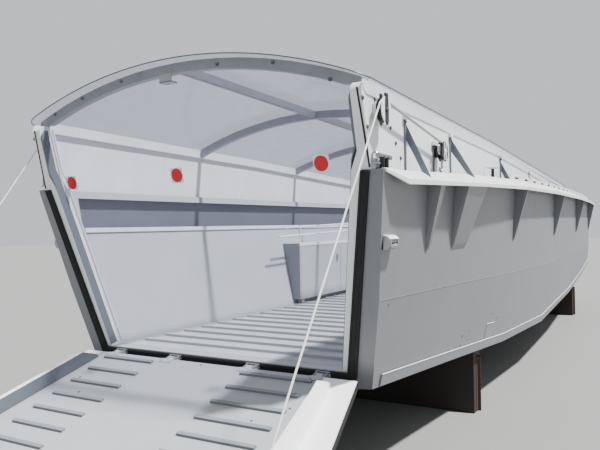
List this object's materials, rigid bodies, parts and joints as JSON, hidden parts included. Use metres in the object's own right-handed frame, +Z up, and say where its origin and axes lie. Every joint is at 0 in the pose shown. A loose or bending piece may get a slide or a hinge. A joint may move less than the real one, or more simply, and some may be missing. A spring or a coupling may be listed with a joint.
{
  "type": "military landing craft",
  "caption": "Steel landing craft on two stands, with a lowered bow ramp on hoist wires, an open well under a clear canopy, and a decked stern.",
  "frame": {"origin": "middle of the whole box at ground level, under the two stands", "axes": "+X forward to the bow ramp, +Y to port, +Z up"},
  "size_m": [12.6054, 3.26, 2.7],
  "materials": {
    "hull_paint": "matt grey marine enamel",
    "inside_paint": "satin light grey enamel",
    "coaming_paint": "satin light grey enamel",
    "fender_paint": "satin off-white enamel",
    "ramp_paint": "scuffed grey deck enamel",
    "seal_rubber": "matt black",
    "canopy_sheet": "clear polycarbonate with a faint lavender tint",
    "canopy_metal": "satin grey",
    "hoist_wire": "white coated wire rope",
    "fitting_paint": "painted fittings",
    "propeller_bronze": "dull bronze",
    "stand_timber": "dark rusty paint",
    "engine_paint": "grey green engine enamel",
    "wheel_paint": "black enamel"
  },
  "bodies": {
    "hull": {"hull_bottom": "hull_paint", "side_wall_port": "hull_paint", "side_wall_starboard": "hull_paint", "well_floor": "inside_paint", "well_bulkhead": "inside_paint", "side_locker_port": "inside_paint", "side_locker_starboard": "inside_paint", "aft_hull": "hull_paint", "engine_block": "engine_paint", "fender_port": "fender_paint", "fender_starboard": "fender_paint", "chine_band_port": "hull_paint", "chine_band_starboard": "hull_paint", "ramp_seal": "seal_rubber", "bow_post_port": "coaming_paint", "bow_post_starboard": "coaming_paint", "coaming_port": "coaming_paint", "coaming_starboard": "coaming_paint", "coaming_aft": "coaming_paint", "canopy_sheet": "canopy_sheet", "canopy_front_arch": "canopy_metal", "canopy_frame": "canopy_metal", "bow_screen": "canopy_sheet", "hoist_sheave_port": "fitting_paint", "hoist_sheave_starboard": "fitting_paint", "hoist_lead_port": "fitting_paint", "hoist_lead_starboard": "fitting_paint", "side_fairlead_port": "fitting_paint", "side_fairlead_starboard": "fitting_paint", "bow_cleat_port": "fitting_paint", "bow_cleat_starboard": "fitting_paint", "keel_fin": "hull_paint", "exhaust_outlet": "hull_paint", "steering_stand": "coaming_paint", "stand_fore": "stand_timber", "stand_aft": "stand_timber"},
    "ramp": {"ramp_panel": "ramp_paint", "ramp_curb_port": "ramp_paint", "ramp_curb_starboard": "ramp_paint"},
    "cable_port": {"hoist_cable_port": "hoist_wire"},
    "cable_starboard": {"hoist_cable_starboard": "hoist_wire"},
    "propeller": {"propeller": "propeller_bronze"},
    "rudder": {"rudder": "hull_paint"},
    "steering_wheel": {"steering_wheel": "wheel_paint"},
    "engine_hatch": {"engine_hatch": "coaming_paint"}
  },
  "joints": [
    {"name": "ramp_hinge", "type": "hinge", "parent": "hull", "child": "ramp", "pos_m": [4.38297, 0, 0.70744], "axis": [0, -1, 0], "range_deg": [0, 94.8]},
    {"name": "cable_port_swing", "type": "hinge", "parent": "hull", "child": "cable_port", "pos_m": [4.577, 1.375, 2.258], "axis": [0, -1, 0], "range_deg": [0, 102], "deforming": ["hoist_cable_port"]},
    {"name": "cable_starboard_swing", "type": "hinge", "parent": "hull", "child": "cable_starboard", "pos_m": [4.577, -1.375, 2.258], "axis": [0, -1, 0], "range_deg": [0, 102], "deforming": ["hoist_cable_starboard"]},
    {"name": "propeller_spin", "type": "hinge", "parent": "hull", "child": "propeller", "pos_m": [-5.453, 0, 0.345], "axis": [1, 0, 0], "continuous": true},
    {"name": "rudder_turn", "type": "hinge", "parent": "hull", "child": "rudder", "pos_m": [-5.823, 0, 0.4], "axis": [0, 0, 1], "range_deg": [-35, 35]},
    {"name": "steering_wheel_turn", "type": "hinge", "parent": "hull", "child": "steering_wheel", "pos_m": [-1.863, 0.65, 1.8104], "axis": [-1, 0, 0], "range_deg": [-540, 540]},
    {"name": "engine_hatch_hinge", "type": "hinge", "parent": "hull", "child": "engine_hatch", "pos_m": [-3.913, -0.6, 1.983], "axis": [1, 0, 0], "range_deg": [0, 100]}
  ],
  "couplings": [
    {"joint": "cable_port_swing", "follows": "ramp_hinge", "ratio": 1.0745},
    {"joint": "cable_starboard_swing", "follows": "ramp_hinge", "ratio": 1.0745},
    {"joint": "steering_wheel_turn", "follows": "rudder_turn", "ratio": 15.4}
  ]
}
